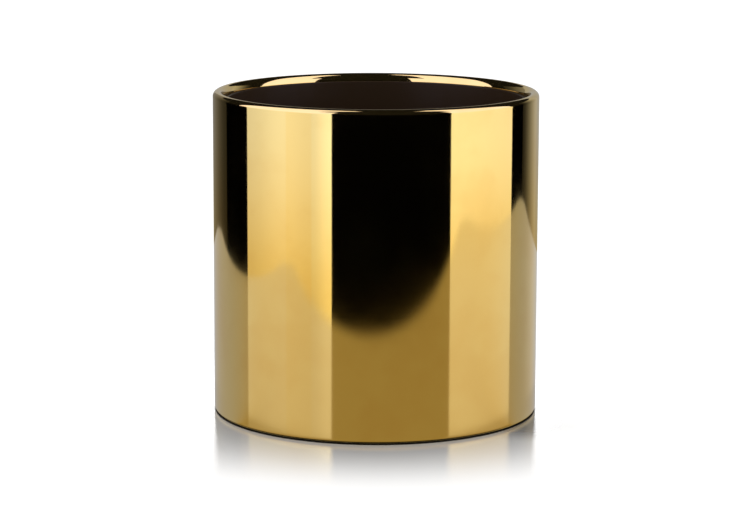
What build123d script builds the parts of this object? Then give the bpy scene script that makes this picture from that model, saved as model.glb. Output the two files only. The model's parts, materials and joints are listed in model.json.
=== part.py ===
"""Straight-sided planter pot in polished brass sheet, with a lift-out liner.

All lengths are millimetres and all angles are degrees. The origin is the centre of the circle that
the pot stands on and +Z points up the pot's axis. A round piece is drawn flat as a half section, with
the radius along X and the height along Y, then stood up and turned about Z.
"""

import os
from math import cos, radians, sin

from build123d import *

# Overall size of the pot
OVERALL_DIAMETER = 150.0
OVERALL_HEIGHT = 149.0

# Brass wall: one sheet, turned in at the foot and rolled inwards over a wire at the rim
WALL_SHEET = 0.8
FOOT_CORNER_RADIUS = 1.4
FOOT_FLANGE_WIDTH = 5.0

# Rolled rim: round over the wire, then a flatter inner face, then a curl back under the wire
LIP_RADIUS = 5.5  # of the inner face
LIP_TILT = 35.0  # how far the inner face leans back from upright where it leaves the wire
LIP_END_TILT = 5.0  # the same at its lower end
ROLL_END_GAP = 1.0  # between the roll's cut edge and the wall behind it

# Wire inside the rolled rim
WIRE_DIAMETER = 3.2
WIRE_FIT = 0.02  # radial, between the wire and the sheet rolled round it

# Brass base pan, soldered inside the foot of the wall
PAN_SHEET = 0.8
PAN_FIT = 0.05  # radial, between the skirt and the wall
PAN_SKIRT_HEIGHT = 9.0
PAN_CORNER_RADIUS = 2.0
PAN_RISE = 1.5  # how far the stiffening dish stands above the flat ring
PAN_DISH_RADIUS = 44.0
PAN_DISH_SLOPE = 4.0
PAN_DISH_CORNER_RADIUS = 3.0

# Solder fillet on top of the pan's skirt
SOLDER_HEIGHT = 1.8
SOLDER_TOE_HEIGHT = 0.4  # how thick the fillet is where it meets the skirt's inner edge
SOLDER_TOP_WIDTH = 0.3  # how thick the fillet is where it runs out on the wall
SOLDER_HOLLOW = 0.1  # how far the fillet's face is drawn in

# Liner, which stands on the pan and lifts out past the rolled rim
LINER_WALL = 1.2
LINER_CLEARANCE = 0.4  # radial, between the liner and the rolled rim
LINER_DROP = 3.6  # from the top of the rim down to the liner's top edge
LINER_CORNER_RADIUS = 5.0
LINER_FOOT_RING_WIDTH = 10.0
LINER_FLOOR_SLOPE = 3.0
LINER_FLOOR_GAP = 1.0  # between the pan's dish and the underside of the liner's floor
LINER_FLOOR_CORNER_RADIUS = 3.0
LINER_LIP_RADIUS = 0.5

# Foot pads, stuck to the flat ring under the pan
PAD_COUNT = 4
PAD_DIAMETER = 14.0
PAD_STANDOUT = 0.7  # how far the pads hold the brass foot off the surface
PAD_EDGE_RADIUS = 0.3
PAD_CIRCLE_RADIUS = 59.0
PAD_FIRST_ANGLE = 45.0

# Places that follow from the sizes above
WALL_RADIUS = OVERALL_DIAMETER / 2
WALL_INNER_RADIUS = WALL_RADIUS - WALL_SHEET
FOOT_Z = PAD_STANDOUT
ROLL_RADIUS = WIRE_DIAMETER / 2 + WIRE_FIT + WALL_SHEET
ROLL_CENTRE_RADIUS = WALL_RADIUS - ROLL_RADIUS
ROLL_CENTRE_Z = OVERALL_HEIGHT - ROLL_RADIUS
ROLL_BOTTOM_Z = ROLL_CENTRE_Z - ROLL_RADIUS
LIP_CENTRE_RADIUS = ROLL_CENTRE_RADIUS + (LIP_RADIUS - ROLL_RADIUS) * cos(radians(LIP_TILT))
LIP_CENTRE_Z = ROLL_CENTRE_Z - (LIP_RADIUS - ROLL_RADIUS) * sin(radians(LIP_TILT))
LIP_END_RADIUS = LIP_CENTRE_RADIUS - LIP_RADIUS * cos(radians(LIP_END_TILT))
LIP_END_Z = LIP_CENTRE_Z + LIP_RADIUS * sin(radians(LIP_END_TILT))
CURL_RADIUS = (LIP_END_Z - ROLL_BOTTOM_Z) / (1 + sin(radians(LIP_END_TILT)))
CURL_CENTRE_RADIUS = LIP_END_RADIUS + CURL_RADIUS * cos(radians(LIP_END_TILT))
RIM_OPENING_RADIUS = CURL_CENTRE_RADIUS - CURL_RADIUS
PAN_Z = FOOT_Z + WALL_SHEET
PAN_RADIUS = WALL_INNER_RADIUS - PAN_FIT
PAN_TOP_Z = PAN_Z + PAN_SKIRT_HEIGHT
PAN_RING_Z = PAN_Z + PAN_SHEET
LINER_RADIUS = RIM_OPENING_RADIUS - LINER_CLEARANCE
LINER_TOP_Z = OVERALL_HEIGHT - LINER_DROP
PARTS_FOLDER = "parts"


def turned(section):
    """Stands a half section up on the XZ plane and turns it a full circle about Z."""
    return revolve(Plane.XZ * section, Axis.Z, 360)


def sheet_section(outer_line, gauge):
    """A half section of even thickness, to the left of the line that runs along its outer face."""
    return make_face(offset(outer_line, gauge, side=Side.LEFT, closed=True))


def dished_line(radius, bottom_z, top_z, rise, dish_radius, slope, corner_radius, dish_corner_radius):
    """The outer face of an upright dish: a raised floor, a flat ring round it, and a straight side."""
    points = [
        (0, bottom_z + rise),
        (dish_radius, bottom_z + rise),
        (dish_radius + slope, bottom_z),
        (radius, bottom_z),
        (radius, top_z),
    ]
    return FilletPolyline(*points, radius=[dish_corner_radius, dish_corner_radius, corner_radius])


def wall_line(depth):
    """The run of the wall's sheet, at the given depth behind its outer face."""
    corner_x = WALL_RADIUS - FOOT_CORNER_RADIUS
    corner_z = FOOT_Z + FOOT_CORNER_RADIUS
    side_x = WALL_RADIUS - depth
    flange_z = FOOT_Z + depth
    flange = Line((WALL_RADIUS - FOOT_FLANGE_WIDTH, flange_z), (corner_x, flange_z))
    corner = CenterArc((corner_x, corner_z), FOOT_CORNER_RADIUS - depth, -90, 90)
    side = Line((side_x, corner_z), (side_x, ROLL_CENTRE_Z))
    roll_centre = (ROLL_CENTRE_RADIUS, ROLL_CENTRE_Z)
    lip_centre = (LIP_CENTRE_RADIUS, LIP_CENTRE_Z)
    curl_centre = (CURL_CENTRE_RADIUS, ROLL_BOTTOM_Z + CURL_RADIUS)
    roll = CenterArc(roll_centre, ROLL_RADIUS - depth, 0, 180 - LIP_TILT)
    lip = CenterArc(lip_centre, LIP_RADIUS - depth, 180 - LIP_TILT, LIP_TILT - LIP_END_TILT)
    curl = CenterArc(curl_centre, CURL_RADIUS - depth, 180 - LIP_END_TILT, 90 + LIP_END_TILT)
    under_z = ROLL_BOTTOM_Z + depth
    under = Line((CURL_CENTRE_RADIUS, under_z), (WALL_INNER_RADIUS - ROLL_END_GAP, under_z))
    return [flange, corner, side, roll, lip, curl, under]


def outer_wall():
    """The brass wall, with its turned-in foot flange and its rolled rim."""
    outer = wall_line(0)
    inner = wall_line(WALL_SHEET)
    flange_edge = Line(outer[0] @ 0, inner[0] @ 0)
    roll_edge = Line(outer[-1] @ 1, inner[-1] @ 1)
    return turned(make_face(Wire([*outer, roll_edge, *inner, flange_edge])))


def rim_wire():
    """The wire ring that the rim is rolled over."""
    return Pos(0, 0, ROLL_CENTRE_Z) * Torus(ROLL_CENTRE_RADIUS, WIRE_DIAMETER / 2)


def base_pan():
    """The pressed pan that closes the foot of the pot."""
    line = dished_line(
        PAN_RADIUS,
        PAN_Z,
        PAN_TOP_Z,
        PAN_RISE,
        PAN_DISH_RADIUS,
        PAN_DISH_SLOPE,
        PAN_CORNER_RADIUS,
        PAN_DISH_CORNER_RADIUS,
    )
    return turned(sheet_section(line, PAN_SHEET))


def solder_seam():
    """The solder fillet between the top edge of the pan's skirt and the wall."""
    inner_x = PAN_RADIUS - PAN_SHEET
    top_z = PAN_TOP_Z + SOLDER_HEIGHT
    toe = (inner_x, PAN_TOP_Z + SOLDER_TOE_HEIGHT)
    brow = (WALL_INNER_RADIUS - SOLDER_TOP_WIDTH, top_z)
    middle = ((toe[0] + brow[0]) / 2 + SOLDER_HOLLOW, (toe[1] + brow[1]) / 2)
    back = Polyline(
        toe,
        (inner_x, PAN_TOP_Z),
        (WALL_INNER_RADIUS, PAN_TOP_Z),
        (WALL_INNER_RADIUS, top_z),
        brow,
    )
    hollow = ThreePointArc(brow, middle, toe)
    return turned(make_face([*back.edges(), hollow]))


def liner():
    """The waterproof liner that holds the plant's own pot."""
    rise = PAN_RISE + LINER_FLOOR_GAP
    floor_radius = LINER_RADIUS - LINER_CORNER_RADIUS - LINER_FOOT_RING_WIDTH - LINER_FLOOR_SLOPE
    line = dished_line(
        LINER_RADIUS,
        PAN_RING_Z,
        LINER_TOP_Z,
        rise,
        floor_radius,
        LINER_FLOOR_SLOPE,
        LINER_CORNER_RADIUS,
        LINER_FLOOR_CORNER_RADIUS,
    )
    body = turned(sheet_section(line, LINER_WALL))
    lip = body.faces().sort_by(Axis.Z)[-1].edges()
    return fillet(lip, LINER_LIP_RADIUS)


def foot_pad(index):
    """One of the round pads that the pot stands on."""
    thickness = PAN_Z
    angle = PAD_FIRST_ANGLE + index * 360 / PAD_COUNT
    pad = Cylinder(PAD_DIAMETER / 2, thickness, align=(Align.CENTER, Align.CENTER, Align.MIN))
    pad = fillet(pad.edges().sort_by(Axis.Z)[0], PAD_EDGE_RADIUS)
    return Rot(0, 0, angle) * Pos(PAD_CIRCLE_RADIUS, 0, 0) * pad


def main():
    """Builds every piece and writes one STEP file for each."""
    pieces = {
        "outer_wall": outer_wall(),
        "rim_wire": rim_wire(),
        "base_pan": base_pan(),
        "solder_seam": solder_seam(),
        "liner": liner(),
    }
    for index in range(PAD_COUNT):
        pieces[f"foot_pad_{index + 1}"] = foot_pad(index)
    os.makedirs(PARTS_FOLDER, exist_ok=True)
    for name, piece in pieces.items():
        export_step(piece, f"{PARTS_FOLDER}/{name}.step")


if __name__ == "__main__":
    main()
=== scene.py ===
"""Looks of a straight-sided planter pot in polished brass sheet, with a liner that lifts out.

Lengths are metres and +Z points up the pot's axis. Round pieces are drawn as a half section in the XZ
plane and turned about Z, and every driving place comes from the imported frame.
"""

import json
import logging
from dataclasses import dataclass
from enum import Enum
from math import atan2, cos, hypot, pi, radians, sin, tan
from typing import Any, Callable, Optional, Union

import bmesh
import bpy
from mathutils import Euler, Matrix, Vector, noise

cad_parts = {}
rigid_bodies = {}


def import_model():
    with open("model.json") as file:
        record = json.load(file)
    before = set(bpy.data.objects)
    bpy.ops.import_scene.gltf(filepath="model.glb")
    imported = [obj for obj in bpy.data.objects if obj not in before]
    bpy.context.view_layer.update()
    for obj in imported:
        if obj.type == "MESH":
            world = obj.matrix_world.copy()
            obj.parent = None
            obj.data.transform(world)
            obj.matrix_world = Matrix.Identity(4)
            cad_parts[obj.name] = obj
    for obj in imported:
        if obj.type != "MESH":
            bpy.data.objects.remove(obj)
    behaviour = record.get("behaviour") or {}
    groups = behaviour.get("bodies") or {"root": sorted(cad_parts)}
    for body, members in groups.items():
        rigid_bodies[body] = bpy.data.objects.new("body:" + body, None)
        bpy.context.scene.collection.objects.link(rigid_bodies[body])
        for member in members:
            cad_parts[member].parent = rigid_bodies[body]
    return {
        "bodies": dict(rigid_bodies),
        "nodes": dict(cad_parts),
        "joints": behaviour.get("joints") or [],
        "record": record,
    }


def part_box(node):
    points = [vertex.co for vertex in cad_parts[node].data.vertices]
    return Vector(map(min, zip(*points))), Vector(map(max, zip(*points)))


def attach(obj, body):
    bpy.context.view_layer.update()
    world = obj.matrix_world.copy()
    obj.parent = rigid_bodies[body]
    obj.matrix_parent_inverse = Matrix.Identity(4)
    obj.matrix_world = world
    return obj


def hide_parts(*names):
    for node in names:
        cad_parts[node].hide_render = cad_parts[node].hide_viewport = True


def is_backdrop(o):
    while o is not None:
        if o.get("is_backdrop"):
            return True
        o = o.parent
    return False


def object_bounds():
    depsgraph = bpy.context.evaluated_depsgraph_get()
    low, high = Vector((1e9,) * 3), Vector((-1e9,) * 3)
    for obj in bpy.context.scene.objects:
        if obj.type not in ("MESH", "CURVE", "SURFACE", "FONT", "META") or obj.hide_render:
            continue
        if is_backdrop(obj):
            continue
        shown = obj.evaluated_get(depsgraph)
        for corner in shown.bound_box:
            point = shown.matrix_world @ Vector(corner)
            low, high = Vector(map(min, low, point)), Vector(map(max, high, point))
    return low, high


MM = 0.001
FULL_TURN = 2 * pi
CUT_EDGE_PARTS = 3
AXIS = (0.0, 0.0)
BLACK = (0.0, 0.0, 0.0)
WHITE = (1.0, 1.0, 1.0)

Colour = tuple[float, float, float]
Socket = bpy.types.NodeSocket
Value = Union[float, Colour, Socket]

log = logging.getLogger("planter_pot")


class Slot(Enum):
    """The record's material slots."""

    POLISHED_BRASS = "polished_brass"
    PAN_BRASS = "pan_brass"
    WIRE = "wire"
    SOLDER = "solder"
    LINER = "liner_plastic"
    RUBBER = "pad_rubber"


class Body(Enum):
    """The rigid bodies that pieces ride on."""

    POT = "pot"
    LINER = "liner"


# ---------------------------------------------------------------------------------------------------
# Mesh tools
# ---------------------------------------------------------------------------------------------------


class LathePen:
    """Draws a half section in the XZ plane with bmesh operators, then turns it about Z."""

    def __init__(self, radius: float, height: float) -> None:
        """Puts the pen down.

        Args:
            radius: distance of the first point from the axis.
            height: height of the first point.
        """
        self.mesh = bmesh.new()
        self.start = bmesh.ops.create_vert(self.mesh, co=(radius, 0, height))["vert"][0]
        self.tip = self.start

    def line_to(self, radius: float, height: float, parts: int = 1) -> "LathePen":
        """Draws a straight run.

        Args:
            radius: distance of the run's end from the axis.
            height: height of the run's end.
            parts: how many equal edges the run is made of.

        Returns:
            The pen, for the next stroke.
        """
        begin = self.tip.co.copy()
        end = Vector((radius, 0, height))
        for step in range(parts):
            made = bmesh.ops.extrude_vert_indiv(self.mesh, verts=[self.tip])
            self.tip = made["verts"][0]
            self.tip.co = begin.lerp(end, (step + 1) / parts)
        return self

    def arc_about(self, radius: float, height: float, angle: float, parts: int) -> "LathePen":
        """Draws an arc about a centre.

        Args:
            radius: distance of the arc's centre from the axis.
            height: height of the arc's centre.
            angle: radians swept, positive from +X towards +Z.
            parts: how many edges the arc is made of.

        Returns:
            The pen, for the next stroke.
        """
        made = bmesh.ops.spin(
            self.mesh,
            geom=[self.tip],
            cent=(radius, 0, height),
            axis=(0, -1, 0),
            angle=angle,
            steps=parts,
        )
        self.tip = next(item for item in made["geom_last"] if isinstance(item, bmesh.types.BMVert))
        return self

    def close(self) -> "LathePen":
        """Joins the tip to the start, for a section that doesn't reach the axis."""
        self.mesh.edges.new((self.tip, self.start))
        return self

    def turned(self, steps: int, angle: float = FULL_TURN) -> bmesh.types.BMesh:
        """Turns the section about Z.

        Args:
            steps: how many faces go round.
            angle: radians turned; a full turn is closed on itself.

        Returns:
            The turned mesh, with its faces pointing outwards.
        """
        bmesh.ops.spin(
            self.mesh,
            geom=self.mesh.verts[:] + self.mesh.edges[:],
            cent=(0, 0, 0),
            axis=(0, 0, 1),
            angle=angle,
            steps=steps,
            use_merge=angle == FULL_TURN,
        )
        bmesh.ops.remove_doubles(self.mesh, verts=self.mesh.verts[:], dist=1e-6 * MM)
        bmesh.ops.dissolve_degenerate(self.mesh, edges=self.mesh.edges[:], dist=1e-6 * MM)
        bmesh.ops.recalc_face_normals(self.mesh, faces=self.mesh.faces[:])
        return self.mesh


def smooth_shaded(mesh: bmesh.types.BMesh, sharp_from: float = radians(40)) -> None:
    """Shades a mesh smooth and leaves its corners crisp.

    Args:
        mesh: the mesh to shade.
        sharp_from: edges that turn by more than this stay sharp.
    """
    for face in mesh.faces:
        face.smooth = True
    for edge in mesh.edges:
        edge.smooth = edge.calc_face_angle(0.0) < sharp_from


def as_object(
    mesh: bmesh.types.BMesh, name: str, materials: list[bpy.types.Material]
) -> bpy.types.Object:
    """Turns a bmesh into an object at the origin.

    Args:
        mesh: the finished mesh, which is freed.
        name: the object's name.
        materials: its materials, in the order of the faces' indexes.

    Returns:
        The new object, linked to the scene.
    """
    smooth_shaded(mesh)
    data = bpy.data.meshes.new(name)
    mesh.to_mesh(data)
    mesh.free()
    for material in materials:
        data.materials.append(material)
    made = bpy.data.objects.new(name, data)
    bpy.context.scene.collection.objects.link(made)
    return made


def as_piece(made: bpy.types.Object, body: Body, slot: Slot, *nodes: str) -> bpy.types.Object:
    """Makes an object a piece of the pot.

    Args:
        made: the object.
        body: the body that it rides on.
        slot: the record's slot that its finish comes from; not used.
        nodes: the CAD nodes that it stands for.

    Returns:
        The same object.
    """
    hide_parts(*nodes)
    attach(made, body.value)
    log.info("%s: %d faces, rides on %s", made.name, len(made.data.polygons), body.value)
    return made


def set_material(
    mesh: bmesh.types.BMesh, index: int, inside: Callable[[float, float], bool]
) -> None:
    """Gives faces a material by where they are.

    Args:
        mesh: the mesh.
        index: the material's index.
        inside: says whether a face at a radius and a height takes it.
    """
    for face in mesh.faces:
        centre = face.calc_center_median()
        if inside(hypot(centre.x, centre.y), centre.z):
            face.material_index = index


def smooth_step(value: float) -> float:
    """Eases 0 to 1 with level ends."""
    clipped = min(max(value, 0.0), 1.0)
    return clipped * clipped * (3 - 2 * clipped)


# ---------------------------------------------------------------------------------------------------
# Shader tools
# ---------------------------------------------------------------------------------------------------


class Graph:
    """Places and joins shader nodes in one tree."""

    def __init__(self, tree: bpy.types.NodeTree) -> None:
        """Takes the tree to work in."""
        self.tree = tree

    def feed(self, socket: Socket, value: Value) -> None:
        """Links a socket, or sets a number or colour on it.

        Args:
            socket: the input to feed.
            value: an output socket to link, or a plain value.
        """
        if isinstance(value, bpy.types.NodeSocket):
            self.tree.links.new(value, socket)
        elif isinstance(value, tuple) and socket.type == "RGBA":
            socket.default_value = (*value, 1.0)
        else:
            socket.default_value = value

    def add(self, kind: str, settings: Optional[dict[str, Any]] = None, **inputs: Value) -> Any:
        """Adds a node.

        Args:
            kind: the node's type, without its ShaderNode prefix.
            settings: attributes to set on the node.
            inputs: values for its inputs, by name, with _ for a space.

        Returns:
            The node.
        """
        made = self.tree.nodes.new(f"ShaderNode{kind}")
        for name, value in (settings or {}).items():
            setattr(made, name, value)
        for name, value in inputs.items():
            self.feed(made.inputs[name.replace("_", " ")], value)
        return made

    def math(self, operation: str, first: Value, second: Value = 0.0) -> Socket:
        """Adds a Math node and returns its output."""
        made = self.add("Math", {"operation": operation})
        self.feed(made.inputs[0], first)
        self.feed(made.inputs[1], second)
        return made.outputs[0]

    def between(self, share: Value, first: Value, second: Value) -> Socket:
        """Mixes two colours by a share and returns the result."""
        made = self.add("Mix", {"data_type": "RGBA"})
        self.feed(made.inputs[0], share)
        self.feed(made.inputs[6], first)
        self.feed(made.inputs[7], second)
        return made.outputs[2]

    def vector(self, operation: str, first: Value, second: Value = (0.0, 0.0, 0.0)) -> Socket:
        """Adds a Vector Math node and returns its output."""
        made = self.add("VectorMath", {"operation": operation})
        self.feed(made.inputs[0], first)
        self.feed(made.inputs[1], second)
        return made.outputs[0]

    def blend(self, share: Value, first: Any, second: Any) -> Any:
        """Mixes two shader nodes by a share and returns the node that does it."""
        made = self.add("MixShader", Fac=share)
        self.feed(made.inputs[1], first.outputs[0])
        self.feed(made.inputs[2], second.outputs[0])
        return made

    def spread(self, value: Socket, low: Value, high: Value, to_low: Value, to_high: Value) -> Socket:
        """Maps a value smoothly from one range to another and returns the result."""
        made = self.add("MapRange", {"interpolation_type": "SMOOTHSTEP"}, Value=value)
        for name, bound in (
            ("From Min", low),
            ("From Max", high),
            ("To Min", to_low),
            ("To Max", to_high),
        ):
            self.feed(made.inputs[name], bound)
        return made.outputs["Result"]

    def noise(self, vector: Socket, scale: Value, detail: float = 2.0, rough: float = 0.5) -> Socket:
        """Adds a noise texture and returns its value."""
        made = self.add("TexNoise", Vector=vector, Scale=scale, Detail=detail, Roughness=rough)
        return made.outputs[0]

    def place(self) -> Socket:
        """The point being shaded, in the piece's own space."""
        return self.add("TexCoord").outputs["Object"]


def distance_from(graph: Graph, x: Socket, y: Socket, spot: tuple[float, float]) -> Socket:
    """Measures how far the point being shaded is from an upright line.

    Args:
        graph: the material's graph.
        x: the point's x.
        y: the point's y.
        spot: where the line meets the floor.

    Returns:
        The distance.
    """
    across = graph.math("SUBTRACT", x, spot[0])
    along = graph.math("SUBTRACT", y, spot[1])
    across = graph.math("MULTIPLY", across, across)
    along = graph.math("MULTIPLY", along, along)
    return graph.math("SQRT", graph.math("ADD", across, along))


@dataclass(frozen=True)
class Effect:
    """A shader effect that several finishes share, kept as one node group."""

    name: str
    inputs: tuple[tuple[str, float], ...]
    outputs: tuple[str, ...]
    draw: Callable[[Graph, Any], dict[str, Socket]]

    def group(self) -> bpy.types.NodeTree:
        """Builds the node group, or finds the one that was built before."""
        known = bpy.data.node_groups.get(self.name)
        if known:
            return known
        tree = bpy.data.node_groups.new(self.name, "ShaderNodeTree")
        for name, default in self.inputs:
            made = tree.interface.new_socket(name=name, in_out="INPUT", socket_type="NodeSocketFloat")
            made.default_value = default
        for name in self.outputs:
            tree.interface.new_socket(name=name, in_out="OUTPUT", socket_type="NodeSocketFloat")
        graph = Graph(tree)
        source = tree.nodes.new("NodeGroupInput")
        sink = tree.nodes.new("NodeGroupOutput")
        for name, socket in self.draw(graph, source.outputs).items():
            tree.links.new(socket, sink.inputs[name])
        return tree

    def on(self, graph: Graph, **inputs: Value) -> Any:
        """Places the effect in a material.

        Args:
            graph: the material's graph.
            inputs: values for the effect's inputs, by name, with _ for a space.

        Returns:
            The outputs of the group's node.
        """
        made = graph.add("Group", {"node_tree": self.group()}, **inputs)
        return made.outputs


def draw_turned_lines(graph: Graph, given: Any) -> dict[str, Socket]:
    """Fine lines that run round the axis, as a lathe or a polishing mop leaves them."""
    x, y, z = graph.add("SeparateXYZ", Vector=graph.place()).outputs
    across = graph.math("ADD", distance_from(graph, x, y, AXIS), z)
    stretched = graph.add(
        "CombineXYZ",
        X=graph.math("MULTIPLY", x, given["Waver"]),
        Y=graph.math("MULTIPLY", y, given["Waver"]),
        Z=graph.math("MULTIPLY", across, given["Lines per metre"]),
    )
    return {"Height": graph.noise(stretched.outputs[0], 1.0, 3.0, 0.6)}


def draw_smears(graph: Graph, given: Any) -> dict[str, Socket]:
    """Broad soft patches, as wiping and handling leave on polished metal."""
    place = graph.place()
    broad = graph.noise(place, given["Scale"], 3.0, 0.55)
    fine_scale = graph.math("MULTIPLY", given["Scale"], 4.3)
    fine = graph.noise(place, fine_scale, 2.0, 0.5)
    mixed = graph.math("ADD", graph.math("MULTIPLY", broad, 0.75), graph.math("MULTIPLY", fine, 0.25))
    return {"Mask": graph.spread(mixed, 0.42, 0.62, 0.0, 1.0)}


def draw_dust(graph: Graph, given: Any) -> dict[str, Socket]:
    """Fine specks that settle on what faces up."""
    place = graph.place()
    up = graph.add("SeparateXYZ", Vector=graph.add("NewGeometry").outputs["Normal"]).outputs[2]
    lying = graph.spread(up, 0.2, 0.9, 0.15, 1.0)
    specks = graph.spread(graph.noise(place, 2600.0, 2.0, 0.6), 0.6, 0.72, 0.0, 1.0)
    haze = graph.spread(graph.noise(place, 60.0, 3.0, 0.6), 0.4, 0.75, 0.0, 0.5)
    amount = graph.math("MULTIPLY", graph.math("MAXIMUM", specks, haze), lying)
    return {"Mask": graph.math("MULTIPLY", amount, given["Amount"])}


TURNED_LINES = Effect(
    "turned_lines", (("Lines per metre", 4000.0), ("Waver", 6.0)), ("Height",), draw_turned_lines
)
SMEARS = Effect("smears", (("Scale", 20.0),), ("Mask",), draw_smears)
DUST = Effect("settled_dust", (("Amount", 1.0),), ("Mask",), draw_dust)


def empty_material(name: str) -> tuple[bpy.types.Material, Graph]:
    """Starts a material that has no nodes yet.

    Args:
        name: its name.

    Returns:
        The material and its graph.
    """
    material = bpy.data.materials.new(name)
    material.use_nodes = True
    material.node_tree.nodes.clear()
    return material, Graph(material.node_tree)


def new_material(name: str) -> tuple[bpy.types.Material, Graph, Any]:
    """Starts a material.

    Args:
        name: its name.

    Returns:
        The material, its graph, and its Principled node joined to the output.
    """
    material, graph = empty_material(name)
    shader = graph.add("BsdfPrincipled")
    graph.add("OutputMaterial", Surface=shader.outputs[0])
    return material, graph, shader


@dataclass(frozen=True)
class BrassFinish:
    """Brass sheet, from mirror-polished to plain spun."""

    name: str
    colour: Colour
    deep_colour: Colour
    roughness: float
    smear_roughness: float
    line_roughness: float
    line_depth: float
    lines_per_metre: float
    anisotropy: float
    tarnish: float
    smear_scale: float = 22.0
    waver: float = 5.0
    grain_turn: float = 0.25

    def material(self) -> bpy.types.Material:
        """Builds the material."""
        material, graph, shader = new_material(self.name)
        smears = SMEARS.on(graph, Scale=self.smear_scale)["Mask"]
        turned = TURNED_LINES.on(graph, Lines_per_metre=self.lines_per_metre, Waver=self.waver)
        lines = turned["Height"]
        tint = graph.math("MULTIPLY", smears, self.tarnish)
        graph.feed(shader.inputs["Base Color"], graph.between(tint, self.colour, self.deep_colour))
        shader.inputs["Metallic"].default_value = 1.0
        shader.inputs["Anisotropic"].default_value = self.anisotropy
        shader.inputs["Anisotropic Rotation"].default_value = self.grain_turn
        around = graph.add("Tangent", {"direction_type": "RADIAL", "axis": "Z"})
        graph.feed(shader.inputs["Tangent"], around.outputs[0])
        smeared = graph.math("MULTIPLY", smears, self.smear_roughness)
        lined = graph.math("MULTIPLY", lines, self.line_roughness)
        total = graph.math("ADD", graph.math("ADD", smeared, lined), self.roughness)
        graph.feed(shader.inputs["Roughness"], total)
        bump = graph.add("Bump", Strength=1.0, Distance=self.line_depth, Height=lines)
        graph.feed(shader.inputs["Normal"], bump.outputs[0])
        return material


@dataclass(frozen=True)
class MouldedFinish:
    """Moulded plastic or rubber with a fine grain."""

    name: str
    colour: Colour
    dust_colour: Colour
    roughness: float
    grain_scale: float
    grain_depth: float
    dust: float
    specular: float = 0.5
    smear_scale: float = 35.0
    wear: float = 0.1
    dust_roughness: float = 0.4

    def material(self) -> bpy.types.Material:
        """Builds the material."""
        material, graph, shader = new_material(self.name)
        dust = DUST.on(graph, Amount=self.dust)["Mask"]
        smears = SMEARS.on(graph, Scale=self.smear_scale)["Mask"]
        grain = graph.noise(graph.place(), self.grain_scale, 3.0, 0.6)
        graph.feed(shader.inputs["Base Color"], graph.between(dust, self.colour, self.dust_colour))
        worn = graph.math("MULTIPLY", smears, self.wear)
        dusty = graph.math("MULTIPLY", dust, self.dust_roughness)
        total = graph.math("ADD", graph.math("ADD", worn, dusty), self.roughness)
        graph.feed(shader.inputs["Roughness"], total)
        shader.inputs["Specular IOR Level"].default_value = self.specular
        bump = graph.add("Bump", Strength=1.0, Distance=self.grain_depth, Height=grain)
        graph.feed(shader.inputs["Normal"], bump.outputs[0])
        return material


@dataclass(frozen=True)
class GreyMetalFinish:
    """Drawn steel wire or cast solder."""

    name: str
    colour: Colour
    dull_colour: Colour
    roughness: float
    lump_scale: float
    lump_depth: float
    smear_scale: float = 90.0
    dulling: float = 0.25

    def material(self) -> bpy.types.Material:
        """Builds the material."""
        material, graph, shader = new_material(self.name)
        smears = SMEARS.on(graph, Scale=self.smear_scale)["Mask"]
        lumps = graph.noise(graph.place(), self.lump_scale, 3.0, 0.5)
        graph.feed(shader.inputs["Base Color"], graph.between(smears, self.colour, self.dull_colour))
        shader.inputs["Metallic"].default_value = 1.0
        dulled = graph.math("MULTIPLY", smears, self.dulling)
        graph.feed(shader.inputs["Roughness"], graph.math("ADD", dulled, self.roughness))
        bump = graph.add("Bump", Strength=1.0, Distance=self.lump_depth, Height=lumps)
        graph.feed(shader.inputs["Normal"], bump.outputs[0])
        return material


POLISHED = BrassFinish(
    name="polished_brass",
    colour=(0.92, 0.66, 0.235),
    deep_colour=(0.84, 0.54, 0.16),
    roughness=0.035,
    smear_roughness=0.02,
    line_roughness=0.03,
    line_depth=0.15e-6,
    lines_per_metre=5200.0,
    anisotropy=0.7,
    tarnish=0.35,
)
SPUN = BrassFinish(
    name="spun_brass",
    colour=(0.74, 0.52, 0.22),
    deep_colour=(0.42, 0.26, 0.1),
    roughness=0.24,
    smear_roughness=0.16,
    line_roughness=0.12,
    line_depth=3e-6,
    lines_per_metre=1900.0,
    anisotropy=0.5,
    tarnish=0.7,
)
LINER_PLASTIC = MouldedFinish(
    name="liner_plastic",
    colour=(0.0235, 0.0126, 0.0058),
    dust_colour=(0.07, 0.047, 0.03),
    roughness=0.3,
    grain_scale=1400.0,
    grain_depth=12e-6,
    dust=0.12,
    specular=0.16,
)
PAD_RUBBER = MouldedFinish(
    name="pad_rubber",
    colour=(0.016, 0.016, 0.017),
    dust_colour=(0.13, 0.12, 0.11),
    roughness=0.62,
    grain_scale=2600.0,
    grain_depth=25e-6,
    dust=0.5,
)
DRAWN_WIRE = GreyMetalFinish(
    name="drawn_wire",
    colour=(0.56, 0.55, 0.53),
    dull_colour=(0.32, 0.31, 0.3),
    roughness=0.28,
    lump_scale=900.0,
    lump_depth=8e-6,
)
SOFT_SOLDER = GreyMetalFinish(
    name="soft_solder",
    colour=(0.66, 0.66, 0.64),
    dull_colour=(0.4, 0.4, 0.39),
    roughness=0.26,
    lump_scale=420.0,
    lump_depth=60e-6,
)


# ---------------------------------------------------------------------------------------------------
# Pieces
# ---------------------------------------------------------------------------------------------------


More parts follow.
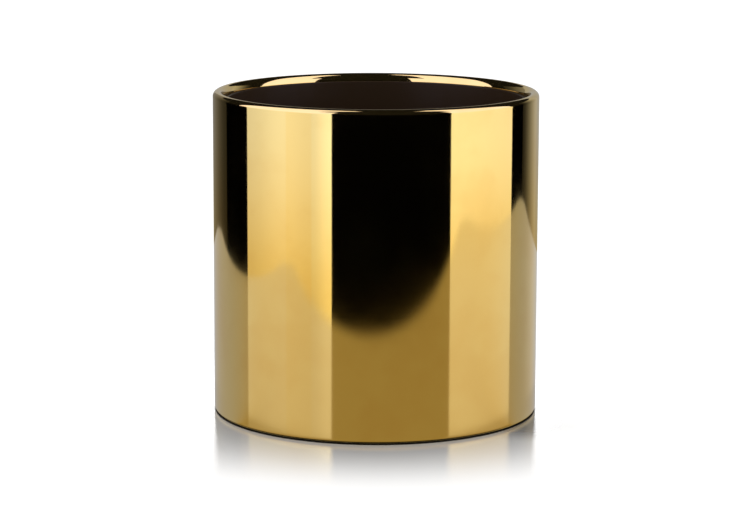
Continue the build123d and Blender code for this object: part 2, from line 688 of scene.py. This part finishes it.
@dataclass
class BrassWall:
    """The wall: one sheet, turned in at the foot and rolled inwards over a wire at the rim."""

    sheet: float = 0.8 * MM
    foot_corner: float = 1.4 * MM
    flange_width: float = 5.0 * MM
    lip_face: float = 5.5 * MM
    lip_tilt: float = radians(35)
    lip_end_tilt: float = radians(5)
    roll_gap: float = 1.0 * MM
    cut_edge: float = 0.12 * MM
    support: float = 0.5 * MM
    corner_parts: tuple[int, int] = (14, 10)
    side_parts: tuple[int, int] = (40, 10)
    roll_parts: tuple[int, int] = (48, 32)
    lip_parts: tuple[int, int] = (24, 12)
    curl_parts: tuple[int, int] = (16, 8)
    around: int = 288
    wave: float = 0.036 * MM
    wave_middle: float = 0.5
    wave_swing: float = 0.35
    wave_fine_share: float = 0.42
    wave_fine_scale: float = 2.7
    wave_fade: float = 14.0 * MM
    wave_scale: Vector = Vector((26.0, 26.0, 11.0))

    def measure(self) -> None:
        """Reads the places that come from the frame, and works out the rolled rim's arcs."""
        low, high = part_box("outer_wall")
        wire_low, wire_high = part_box("rim_wire")
        self.radius = high.x
        self.foot, self.top = low.z, high.z
        self.roll_height = (wire_low.z + wire_high.z) / 2
        self.roll_radius = self.top - self.roll_height
        self.roll_bottom = self.roll_height - self.roll_radius
        self.roll = Vector((self.radius - self.roll_radius, 0, self.roll_height))
        start = Vector((-cos(self.lip_tilt), 0, sin(self.lip_tilt)))
        end = Vector((-cos(self.lip_end_tilt), 0, sin(self.lip_end_tilt)))
        self.lip = self.roll - start * (self.lip_face - self.roll_radius)
        lip_end = self.lip + end * self.lip_face
        curl_radius = (lip_end.z - self.roll_bottom) / (1 + end.z)
        self.curl = lip_end - end * curl_radius

    def section(self) -> LathePen:
        """Draws the sheet's half section; each pair of counts is for its outer and inner face."""
        corner = self.radius - self.foot_corner
        bend = self.foot + self.foot_corner
        inner = self.radius - self.sheet
        flange = self.radius - self.flange_width
        edge = self.cut_edge
        pen = LathePen(flange + edge, self.foot)
        pen.line_to(corner - self.support, self.foot).line_to(corner, self.foot)
        pen.arc_about(corner, bend, pi / 2, self.corner_parts[0])
        pen.line_to(self.radius, bend + self.support)
        pen.line_to(self.radius, self.roll_height - self.support, self.side_parts[0])
        pen.line_to(self.radius, self.roll_height)
        roll_turn = pi - self.lip_tilt
        lip_turn = self.lip_tilt - self.lip_end_tilt
        curl_turn = pi / 2 + self.lip_end_tilt
        under = inner - self.roll_gap
        pen.arc_about(self.roll.x, self.roll.z, roll_turn, self.roll_parts[0])
        pen.arc_about(self.lip.x, self.lip.z, lip_turn, self.lip_parts[0])
        pen.arc_about(self.curl.x, self.curl.z, curl_turn, self.curl_parts[0])
        pen.line_to(under - edge, self.roll_bottom)
        pen.arc_about(under - edge, self.roll_bottom + edge, pi / 2, CUT_EDGE_PARTS)
        pen.line_to(under, self.roll_bottom + self.sheet - edge)
        pen.arc_about(under - edge, self.roll_bottom + self.sheet - edge, pi / 2, CUT_EDGE_PARTS)
        pen.line_to(self.curl.x, self.roll_bottom + self.sheet)
        pen.arc_about(self.curl.x, self.curl.z, -curl_turn, self.curl_parts[1])
        pen.arc_about(self.lip.x, self.lip.z, -lip_turn, self.lip_parts[1])
        pen.arc_about(self.roll.x, self.roll.z, -roll_turn, self.roll_parts[1])
        pen.line_to(inner, self.roll_height - self.support)
        pen.line_to(inner, bend + self.support, self.side_parts[1])
        pen.line_to(inner, bend)
        pen.arc_about(corner, bend, -pi / 2, self.corner_parts[1])
        pen.line_to(flange + edge, self.foot + self.sheet)
        pen.arc_about(flange + edge, self.foot + self.sheet - edge, pi / 2, CUT_EDGE_PARTS)
        pen.line_to(flange, self.foot + edge)
        pen.arc_about(flange + edge, self.foot + edge, pi / 2, CUT_EDGE_PARTS)
        return pen

    def ripple(self, mesh: bmesh.types.BMesh) -> None:
        """Lets the outer face breathe in and out a little, as hand polishing leaves it.

        Args:
            mesh: the turned wall.
        """
        low, high = self.foot + self.foot_corner, self.roll_height
        for vertex in mesh.verts:
            if hypot(vertex.co.x, vertex.co.y) < self.radius - 1e-3 * MM:
                continue
            fade = smooth_step(min(vertex.co.z - low, high - vertex.co.z) / self.wave_fade)
            where = vertex.co * self.wave_scale
            fine = noise.noise(where * self.wave_fine_scale)
            swing = noise.noise(where) + self.wave_fine_share * fine
            depth = self.wave * fade * (self.wave_middle + self.wave_swing * swing)
            share = 1 - depth / self.radius
            vertex.co.x *= share
            vertex.co.y *= share

    def build(self) -> bpy.types.Object:
        """Makes the piece: polished outside and over the roll, plain spun brass inside."""
        self.measure()
        mesh = self.section().close().turned(self.around)
        inside = self.radius - self.sheet / 2
        below_lip = self.curl.z
        set_material(mesh, 1, lambda radius, height: radius < inside and height < below_lip)
        set_material(mesh, 0, lambda radius, height: height < self.foot + self.sheet / 2)
        self.ripple(mesh)
        made = as_object(mesh, "polished_wall", [POLISHED.material(), SPUN.material()])
        return as_piece(made, Body.POT, Slot.POLISHED_BRASS, "outer_wall")


@dataclass
class DishedFloor:
    """The line of a pressed floor: a raised dish, a flat ring round it, and a rounded outer corner."""

    base: float
    radius: float
    corner: float
    rise: float
    dish: float
    slope: float
    bend: float
    fine: int = 6

    def places(self) -> tuple[float, Vector, Vector, Vector]:
        """Works out the bends' turn and the centres of the dish's two bends and the outer corner."""
        turn = atan2(self.rise, self.slope)
        ease = self.bend * tan(turn / 2)
        upper = Vector((self.dish - ease, 0, self.base + self.rise - self.bend))
        lower = Vector((self.dish + self.slope + ease, 0, self.base + self.bend))
        outer = Vector((self.radius - self.corner, 0, self.base + self.corner))
        return turn, upper, lower, outer

    def draw_outwards(self, pen: LathePen) -> None:
        """Draws the underside, from the axis to the foot of the upright side.

        Args:
            pen: the pen, which stands on the axis.
        """
        turn, upper, lower, outer = self.places()
        slope = Vector((sin(turn), 0, cos(turn)))
        pen.line_to(upper.x, self.base + self.rise)
        pen.arc_about(upper.x, upper.z, -turn, self.fine)
        foot = lower - slope * self.bend
        pen.line_to(foot.x, foot.z)
        pen.arc_about(lower.x, lower.z, turn, self.fine)
        pen.line_to(outer.x, self.base)
        pen.arc_about(outer.x, outer.z, pi / 2, 2 * self.fine)

    def draw_inwards(self, pen: LathePen, sheet: float) -> None:
        """Draws the upper face, from the foot of the upright side to the axis.

        Args:
            pen: the pen, which stands at the inner foot of the side.
            sheet: the floor's thickness.
        """
        turn, upper, lower, outer = self.places()
        slope = Vector((sin(turn), 0, cos(turn)))
        pen.arc_about(outer.x, outer.z, -pi / 2, 2 * self.fine)
        pen.line_to(lower.x, self.base + sheet)
        pen.arc_about(lower.x, lower.z, -turn, self.fine)
        brow = upper + slope * (self.bend + sheet)
        pen.line_to(brow.x, brow.z)
        pen.arc_about(upper.x, upper.z, turn, self.fine)


@dataclass
class BasePan:
    """The pressed pan that closes the foot, with a raised dish for stiffness."""

    sheet: float = 0.8 * MM
    corner: float = 2.0 * MM
    rise: float = 1.5 * MM
    dish: float = 44.0 * MM
    slope: float = 4.0 * MM
    bend: float = 3.0 * MM
    cut_edge: float = 0.12 * MM
    around: int = 240

    def section(self) -> LathePen:
        """Draws the pan's half section, from the axis outwards and back."""
        low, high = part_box("base_pan")
        edge = self.cut_edge
        line = DishedFloor(low.z, high.x, self.corner, self.rise, self.dish, self.slope, self.bend)
        pen = LathePen(0.0, low.z + self.rise)
        line.draw_outwards(pen)
        pen.line_to(high.x, high.z - edge)
        pen.arc_about(high.x - edge, high.z - edge, pi / 2, CUT_EDGE_PARTS)
        pen.line_to(high.x - self.sheet + edge, high.z)
        pen.arc_about(high.x - self.sheet + edge, high.z - edge, pi / 2, CUT_EDGE_PARTS)
        pen.line_to(high.x - self.sheet, low.z + self.corner)
        line.draw_inwards(pen, self.sheet)
        pen.line_to(0.0, low.z + self.rise + self.sheet)
        return pen

    def build(self) -> bpy.types.Object:
        """Makes the piece in plain spun brass."""
        made = as_object(self.section().turned(self.around), "pan_pressing", [SPUN.material()])
        return as_piece(made, Body.POT, Slot.PAN_BRASS, "base_pan")


@dataclass
class SolderBead:
    """The run of solder between the pan's skirt and the wall."""

    toe: float = 0.4 * MM
    brow: float = 0.3 * MM
    hollow_parts: int = 8
    around: int = 420
    lump: float = 0.16 * MM
    lump_scale: float = 190.0
    lump_middle: float = 0.6
    lump_swing: float = 0.8

    def build(self) -> bpy.types.Object:
        """Makes the piece, with the uneven face of solder run in by hand."""
        low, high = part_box("solder_seam")
        inner = high.x - self.width()
        toe = Vector((inner, 0, low.z + self.toe))
        brow = Vector((high.x - self.brow, 0, high.z))
        pen = LathePen(inner, low.z)
        pen.line_to(high.x, low.z).line_to(high.x, high.z).line_to(brow.x, brow.z)
        pen.line_to(toe.x, toe.z, self.hollow_parts)
        mesh = pen.close().turned(self.around)
        for vertex in mesh.verts:
            radius = hypot(vertex.co.x, vertex.co.y)
            if radius > high.x - self.brow / 2 or vertex.co.z < low.z + self.toe / 2:
                continue
            along = (brow.z - vertex.co.z) / (brow.z - toe.z)
            sag = sin(pi * min(max(along, 0.0), 1.0))
            swing = noise.noise(vertex.co * self.lump_scale)
            dent = self.lump * (self.lump_middle + self.lump_swing * swing) * sag
            vertex.co.x *= 1 + dent / radius
            vertex.co.y *= 1 + dent / radius
            vertex.co.z -= dent / 2
        made = as_object(mesh, "solder_bead", [SOFT_SOLDER.material()])
        return as_piece(made, Body.POT, Slot.SOLDER, "solder_seam")

    def width(self) -> float:
        """How far the bead reaches in from the wall, read from the pan's skirt below it."""
        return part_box("solder_seam")[1].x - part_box("base_pan")[1].x + BasePan.sheet


@dataclass
class Liner:
    """The moulded liner, with a raised floor and the mark where the plastic went in."""

    wall: float = 1.2 * MM
    corner: float = 5.0 * MM
    rise: float = 2.5 * MM
    foot_ring: float = 10.0 * MM
    slope: float = 3.0 * MM
    bend: float = 3.0 * MM
    lip: float = 0.5 * MM
    side_parts: int = 6
    lip_parts: int = 8
    gate_radius: float = 1.6 * MM
    gate_taper: float = 0.8
    gate_height: float = 0.35 * MM
    gate_well: float = 5.0 * MM
    gate_well_depth: float = 0.3 * MM
    around: int = 240

    def section(self) -> LathePen:
        """Draws the liner's half section, from the axis outwards and back."""
        low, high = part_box("liner")
        dish = high.x - self.corner - self.foot_ring - self.slope
        line = DishedFloor(low.z, high.x, self.corner, self.rise, dish, self.slope, self.bend)
        inner = high.x - self.wall
        pen = LathePen(0.0, low.z + self.rise)
        line.draw_outwards(pen)
        pen.line_to(high.x, high.z - self.lip, self.side_parts)
        pen.arc_about(high.x - self.lip, high.z - self.lip, pi / 2, self.lip_parts)
        pen.line_to(inner + self.lip, high.z)
        pen.arc_about(inner + self.lip, high.z - self.lip, pi / 2, self.lip_parts)
        pen.line_to(inner, low.z + self.corner, self.side_parts)
        line.draw_inwards(pen, self.wall)
        floor = low.z + self.rise + self.wall
        pen.line_to(self.gate_well, floor)
        pen.line_to(self.gate_well - self.gate_well_depth, floor - self.gate_well_depth)
        pen.line_to(self.gate_radius, floor - self.gate_well_depth)
        pen.line_to(self.gate_radius * self.gate_taper, floor - self.gate_well_depth + self.gate_height)
        pen.line_to(0.0, floor - self.gate_well_depth + self.gate_height)
        return pen

    def build(self) -> bpy.types.Object:
        """Makes the piece in dark semi-gloss plastic."""
        mesh = self.section().turned(self.around)
        made = as_object(mesh, "liner_moulding", [LINER_PLASTIC.material()])
        return as_piece(made, Body.LINER, Slot.LINER, "liner")


@dataclass
class FootPad:
    """A round rubber pad, stuck to the underside of the pan."""

    number: int
    edge: float = 0.3 * MM
    face_parts: int = 3
    edge_parts: int = 6
    around: int = 64

    def build(self, rubber: bpy.types.Material) -> bpy.types.Object:
        """Makes the piece.

        Args:
            rubber: the pads' material.

        Returns:
            The pad.
        """
        node = f"foot_pad_{self.number}"
        low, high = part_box(node)
        centre = (low + high) / 2
        radius = (high.x - low.x) / 2
        height = high.z - low.z
        pen = LathePen(0.0, 0.0)
        pen.line_to(radius - self.edge, 0.0, self.face_parts)
        pen.arc_about(radius - self.edge, self.edge, pi / 2, self.edge_parts)
        pen.line_to(radius, height).line_to(0.0, height)
        mesh = pen.turned(self.around)
        bmesh.ops.translate(mesh, verts=mesh.verts[:], vec=(centre.x, centre.y, low.z))
        made = as_object(mesh, f"rubber_foot_{self.number}", [rubber])
        return as_piece(made, Body.POT, Slot.RUBBER, node)


@dataclass
class RimWire:
    """The steel ring inside the rolled rim, carried over from the frame as it is."""

    node: str = "rim_wire"

    def dress(self, frame: dict[str, Any]) -> None:
        """Gives the wire its finish.
        """
        wire = frame["nodes"][self.node]
        wire.data.materials.clear()
        wire.data.materials.append(DRAWN_WIRE.material())
        log.info("%s: carried over, drawn steel", self.node)


# ---------------------------------------------------------------------------------------------------
# Studio
# ---------------------------------------------------------------------------------------------------


def glow(name: str) -> tuple[bpy.types.Material, Graph, Any, Any]:
    """Starts a glowing material that a perfectly sharp reflection looks through.

    The floor mirrors sharply and sees past the studio's panels to a white room; the pot doesn't.

    Args:
        name: its name.

    Returns:
        The material, its graph, its Emission node, and its Mix Shader node.
    """
    material, graph = empty_material(name)
    light = graph.add("Emission")
    sharp = graph.add("LightPath").outputs["Is Singular Ray"]
    mixed = graph.blend(sharp, light, graph.add("BsdfTransparent"))
    graph.add("OutputMaterial", Surface=mixed.outputs[0])
    return material, graph, light, mixed


def seen_in_reflections_only(made: bpy.types.Object) -> None:
    """Hides a stage object from everything but reflections."""
    made.visible_camera = False
    made.visible_diffuse = False
    made.visible_transmission = False
    made.visible_volume_scatter = False
    made.visible_shadow = False


@dataclass(frozen=True)
class LightPanel:
    """A curved soft light round the pot, seen only in reflections.

    Angles are degrees round the axis from the camera's side, positive to the camera's right.
    """

    name: str
    start: float
    end: float
    low: float
    high: float
    power: tuple[float, float]
    base_share: float = 1.0
    fade: tuple[float, float] = (-0.12, 0.05)
    tint: Colour = (1.0, 1.02, 1.02)
    base_tint: Colour = (1.0, 0.82, 0.37)
    tint_fade: tuple[float, float] = (-0.09, 0.07)
    second_loss: float = 0.6
    distance: float = 0.72
    pot_gap: float = 0.057
    steps: int = 24

    def material(self) -> bpy.types.Material:
        """Builds the light: its power changes from end to end, and it fades and warms downwards."""
        material, graph, light, _ = glow(self.name)
        x, y, z = graph.add("SeparateXYZ", Vector=graph.place()).outputs
        angle = graph.math("ARCTAN2", x, graph.math("MULTIPLY", y, -1.0))
        along = graph.spread(angle, radians(self.start), radians(self.end), *self.power)
        share = graph.spread(z, self.fade[0], self.fade[1], self.base_share, 1.0)
        path = graph.add("LightPath").outputs
        again = graph.math("GREATER_THAN", path["Ray Depth"], 1.5)
        from_pot = graph.math("GREATER_THAN", path["Ray Length"], self.distance - self.pot_gap)
        spent = graph.math("MULTIPLY", graph.math("MULTIPLY", again, from_pot), self.second_loss)
        kept = graph.math("SUBTRACT", 1.0, spent)
        strength = graph.math("MULTIPLY", graph.math("MULTIPLY", along, share), kept)
        cool = graph.spread(z, self.tint_fade[0], self.tint_fade[1], 0.0, 1.0)
        graph.feed(light.inputs["Color"], graph.between(cool, self.base_tint, self.tint))
        graph.feed(light.inputs["Strength"], strength)
        return material

    def build(self) -> bpy.types.Object:
        """Makes the panel."""
        pen = LathePen(self.distance, self.low).line_to(self.distance, self.high)
        mesh = pen.turned(self.steps, radians(self.end - self.start))
        turn = Euler((0, 0, radians(self.start - 90))).to_matrix()
        bmesh.ops.rotate(mesh, verts=mesh.verts[:], cent=(0, 0, 0), matrix=turn)
        made = as_object(mesh, self.name, [self.material()])
        seen_in_reflections_only(made)
        made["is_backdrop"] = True
        return made


@dataclass
class Floor:
    """The plain pale floor: it mirrors the pot faintly near its foot, carries a painted contact shadow
    under the foot's edge and a painted soft shade by the foot's right front, and is clear from below.
    """

    size: float = 40.0
    colour: Colour = (0.93, 0.93, 0.93)
    gloss: float = 0.65
    gloss_near: float = 0.07
    gloss_far: float = 0.158
    unevenness: float = 0.09
    # Painted contact shadow: the floor's colour and mirror darken in a thin ring just under the foot's
    # edge.
    painted_contact_shadow: tuple[float, float] = (74.4 * MM, 75.7 * MM)
    painted_contact_shadow_left: float = 0.03
    # Painted shade: a soft dark spot on the floor by the foot's right front.
    shade_spot: tuple[float, float] = (0.073, -0.034)
    shade: tuple[float, float] = (0.008, 0.036)
    shade_left: float = 0.4

    def mirror(self, graph: Graph) -> Any:
        """Builds a sharp mirror that leans a little at random, and returns its node."""
        grit = graph.add("TexWhiteNoise", Vector=graph.place()).outputs["Color"]
        lean = graph.vector("SUBTRACT", grit, (0.5, 0.5, 0.5))
        small = graph.vector("MULTIPLY", lean, (self.unevenness,) * 3)
        level = graph.vector("NORMALIZE", graph.vector("ADD", small, (0.0, 0.0, 1.0)))
        return graph.add("BsdfGlossy", Color=WHITE, Roughness=0.0, Normal=level)

    def material(self) -> bpy.types.Material:
        """Builds the floor's matt white, darkened by the painted contact shadow and the painted shade
        spot, under a mirror that fades out away from the foot and is dimmed by the painted contact
        shadow.
        """
        material, graph = empty_material("floor_white")
        x, y, _ = graph.add("SeparateXYZ", Vector=graph.place()).outputs
        reach = distance_from(graph, x, y, AXIS)
        # Painted shade: the contact shadow and the shade spot darken the matt colour, and the contact
        # shadow dims the mirror too.
        painted_contact_shadow = graph.spread(reach, *self.painted_contact_shadow, self.painted_contact_shadow_left, 1.0)
        gloss = graph.spread(reach, self.gloss_near, self.gloss_far, self.gloss, 0.0)
        beside = distance_from(graph, x, y, self.shade_spot)
        shade = graph.spread(beside, *self.shade, self.shade_left, 1.0)
        painted_shade_colour = graph.between(graph.math("MULTIPLY", painted_contact_shadow, shade), BLACK, self.colour)
        matte = graph.add("BsdfDiffuse", Color=painted_shade_colour)
        top = graph.blend(graph.math("MULTIPLY", gloss, painted_contact_shadow), matte, self.mirror(graph))
        below = graph.add("NewGeometry").outputs["Backfacing"]
        one_sided = graph.blend(below, top, graph.add("BsdfTransparent"))
        graph.add("OutputMaterial", Surface=one_sided.outputs[0])
        return material

    def build(self) -> bpy.types.Object:
        """Makes the floor."""
        mesh = bmesh.new()
        bmesh.ops.create_grid(mesh, x_segments=1, y_segments=1, size=self.size / 2)
        made = as_object(mesh, "floor", [self.material()])
        made.visible_glossy = False
        made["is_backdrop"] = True
        return made


@dataclass
class Table:
    """The table top as the pot's side mirrors it: pale and glossy, in a dark room; it glows with
    painted light rather than being lit.
    """

    left: float = -0.43
    right: float = 0.62
    front: float = -0.337
    back: float = 0.42
    corner: float = 0.12
    turn: float = radians(-4)
    lift: float = 0.02 * MM
    # Painted light: the top glows, warm in front of the pot and brighter, whiter beside it.
    power: float = 0.33
    tint: Colour = (1.0, 0.81, 0.37)
    side_tint: Colour = (1.0, 1.03, 1.12)
    side_from: tuple[float, float] = (0.06, 0.04)
    side_angles: tuple[float, float] = (radians(70), radians(130))
    side_lift: tuple[float, float] = (radians(60), radians(100))
    side_power: float = 1.16
    soft_edge: float = 0.046
    # Painted shadow: the top turns clear round and under the pot's foot, so the pot's side mirrors dark
    # there.
    foot_shadow: tuple[float, float] = (74.6 * MM, 76.2 * MM)
    gloss_roughness: float = 0.17
    gloss_ior: float = 1.7

    def material(self) -> bpy.types.Material:
        """Builds the top: its glow is painted light, warm in front of the pot, brighter and whiter
        beside it, with a painted shadow round the pot's foot, and soft along its front edge.
        """
        material, graph, light, mixed = glow("table_white")
        x, y, _ = graph.add("SeparateXYZ", Vector=graph.place()).outputs
        # Painted light: the glow's colour and power, warm in front of the pot and brighter, whiter
        # beside it.
        beside = graph.math("SUBTRACT", graph.math("ABSOLUTE", x), self.side_from[0])
        before = graph.math("MULTIPLY", graph.math("ADD", y, self.side_from[1]), -1.0)
        angle = graph.math("ARCTAN2", beside, before)
        side = graph.spread(angle, *self.side_angles, 0.0, 1.0)
        graph.feed(light.inputs["Color"], graph.between(side, self.tint, self.side_tint))
        lift = graph.spread(angle, *self.side_lift, 1.0, self.side_power)
        graph.feed(light.inputs["Strength"], graph.math("MULTIPLY", lift, self.power))
        share = graph.add("Fresnel", IOR=self.gloss_ior).outputs[0]
        mirror = graph.add("BsdfGlossy", Color=share, Roughness=self.gloss_roughness)
        both = graph.add("AddShader")
        graph.feed(both.inputs[0], light.outputs[0])
        graph.feed(both.inputs[1], mirror.outputs[0])
        inward = graph.math(
            "SUBTRACT",
            graph.math("MULTIPLY", y, cos(self.turn)),
            graph.math("MULTIPLY", x, sin(self.turn)),
        )
        edge = graph.spread(inward, self.front, self.front + self.soft_edge, 0.0, 1.0)
        # Painted shadow round the pot's foot: the top turns clear there.
        foot = graph.spread(distance_from(graph, x, y, AXIS), *self.foot_shadow, 0.0, 1.0)
        clear = graph.add("BsdfTransparent")
        solid = graph.blend(graph.math("MULTIPLY", edge, foot), clear, both)
        graph.feed(mixed.inputs[1], solid.outputs[0])
        return material

    def build(self) -> bpy.types.Object:
        """Makes the table top, with rounded corners."""
        mesh = bmesh.new()
        bmesh.ops.create_grid(mesh, x_segments=1, y_segments=1, size=0.5)
        bmesh.ops.scale(
            mesh, verts=mesh.verts[:], vec=(self.right - self.left, self.back - self.front, 1)
        )
        middle = ((self.left + self.right) / 2, (self.front + self.back) / 2, self.lift)
        bmesh.ops.translate(mesh, verts=mesh.verts[:], vec=middle)
        turn = Euler((0, 0, self.turn)).to_matrix()
        bmesh.ops.rotate(mesh, verts=mesh.verts[:], cent=(0, 0, 0), matrix=turn)
        bmesh.ops.bevel(
            mesh,
            geom=mesh.verts[:],
            offset=self.corner,
            affect="VERTICES",
            segments=16,
            profile=0.5,
            material=-1,
        )
        made = as_object(mesh, "table_top", [self.material()])
        seen_in_reflections_only(made)
        made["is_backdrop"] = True
        return made


@dataclass
class Room:
    """The light that comes from everywhere: white on matt surfaces, dim in the pot's reflections."""

    ambient: float = 1.26
    overhead: float = 0.008
    mirrored: float = 1.5

    def build(self) -> None:
        """Makes the world."""
        world = bpy.data.worlds.new("room")
        bpy.context.scene.world = world
        world.use_nodes = True
        world.node_tree.nodes.clear()
        graph = Graph(world.node_tree)
        direction = graph.add("TexCoord").outputs["Generated"]
        height = graph.add("SeparateXYZ", Vector=direction).outputs[2]
        above = graph.spread(height, -0.1, 0.3, 0.0, self.overhead)
        path = graph.add("LightPath")
        seen = graph.add("Mix", {"data_type": "FLOAT"})
        graph.feed(seen.inputs[0], path.outputs["Is Singular Ray"])
        graph.feed(seen.inputs[2], above)
        graph.feed(seen.inputs[3], self.mirrored)
        strength = graph.add("Mix", {"data_type": "FLOAT"})
        graph.feed(strength.inputs[0], path.outputs["Is Glossy Ray"])
        graph.feed(strength.inputs[2], self.ambient)
        graph.feed(strength.inputs[3], seen.outputs[0])
        light = graph.add("Background", Color=WHITE)
        graph.feed(light.inputs["Strength"], strength.outputs[0])
        graph.add("OutputWorld", Surface=light.outputs[0])


@dataclass
class Camera:
    """The camera, in front of the pot and a little above it."""

    distance: float = 1.252
    elevation: float = radians(10.04)
    pitch: float = radians(10.33)
    roll: float = radians(-0.2)
    yaw: float = 0.0008
    lens_mm: float = 129.4
    sensor_mm: float = 36.0

    def build(self, box: tuple[Vector, Vector]) -> None:
        """Places the camera.

        Args:
            box: the lowest and highest corners of the pot.
        """
        low, high = box
        centre = (low + high) / 2
        data = bpy.data.cameras.new("camera")
        data.lens = self.lens_mm
        data.sensor_width = self.sensor_mm
        data.clip_start = 0.01
        data.clip_end = 60.0
        made = bpy.data.objects.new("camera", data)
        back = Vector((0, -cos(self.elevation), sin(self.elevation)))
        made.location = centre + back * self.distance
        made.rotation_euler = Euler((pi / 2 - self.pitch, self.roll, self.yaw), "XYZ")
        bpy.context.scene.collection.objects.link(made)
        bpy.context.scene.camera = made


WHITE_GOLD = (1.0, 1.08, 1.32)
GLARE = (1.0, 1.0, 1.5)
PALE = (1.0, 1.03, 1.12)
DEEP_GOLD = (1.0, 0.88, 0.5)
LOWER = (-0.6, 0.22)
UPPER_FOOT = 0.2201
UPPER_END = (UPPER_FOOT, 0.75)
UPPER_POWER = (1.3, 1.3)
BACK = (-0.6, 0.4)
PANELS = (
    LightPanel("left_light_a", -97.0, -62.0, *LOWER, (0.84, 1.07), 0.78, tint=WHITE_GOLD),
    LightPanel("left_light_b", -62.0, -43.0, *LOWER, (1.06, 0.97), 0.78, tint=PALE),
    LightPanel(
        "left_light_c", -43.0, -29.0, *LOWER, (0.97, 1.3), 0.78, tint=WHITE_GOLD, base_tint=DEEP_GOLD
    ),
    LightPanel("left_light_high", -106.0, -45.0, UPPER_FOOT, 6.0, UPPER_POWER, tint=GLARE),
    LightPanel("left_light_high_end", -45.0, -29.0, *UPPER_END, UPPER_POWER, tint=GLARE),
    LightPanel("right_light", 50.8, 105.5, *LOWER, (1.25, 1.12), 0.7, tint=PALE),
    LightPanel("right_light_high", 62.0, 104.0, UPPER_FOOT, 2.4, UPPER_POWER, tint=GLARE),
    LightPanel("right_light_high_end", 50.8, 62.0, *UPPER_END, UPPER_POWER, tint=GLARE),
    LightPanel("back_left_light", -162.0, -124.0, *BACK, (0.2, 0.03)),
    LightPanel("back_right_light", 120.0, 150.0, *BACK, (0.02, 0.45)),
    LightPanel("back_light", 150.0, 198.0, *BACK, (0.4, 0.4)),
)


def main() -> None:
    """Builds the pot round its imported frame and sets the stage."""
    logging.basicConfig(level=logging.INFO, format="%(name)s: %(message)s")
    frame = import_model()
    cad_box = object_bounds()
    BrassWall().build()
    BasePan().build()
    SolderBead().build()
    Liner().build()
    rubber = PAD_RUBBER.material()
    for number in range(1, 5):
        FootPad(number).build(rubber)
    RimWire().dress(frame)
    Room().build()
    Floor().build()
    Table().build()
    for panel in PANELS:
        panel.build()
    Camera().build(cad_box)
    bpy.context.scene.view_settings.view_transform = "Standard"


if __name__ == "__main__":
    main()
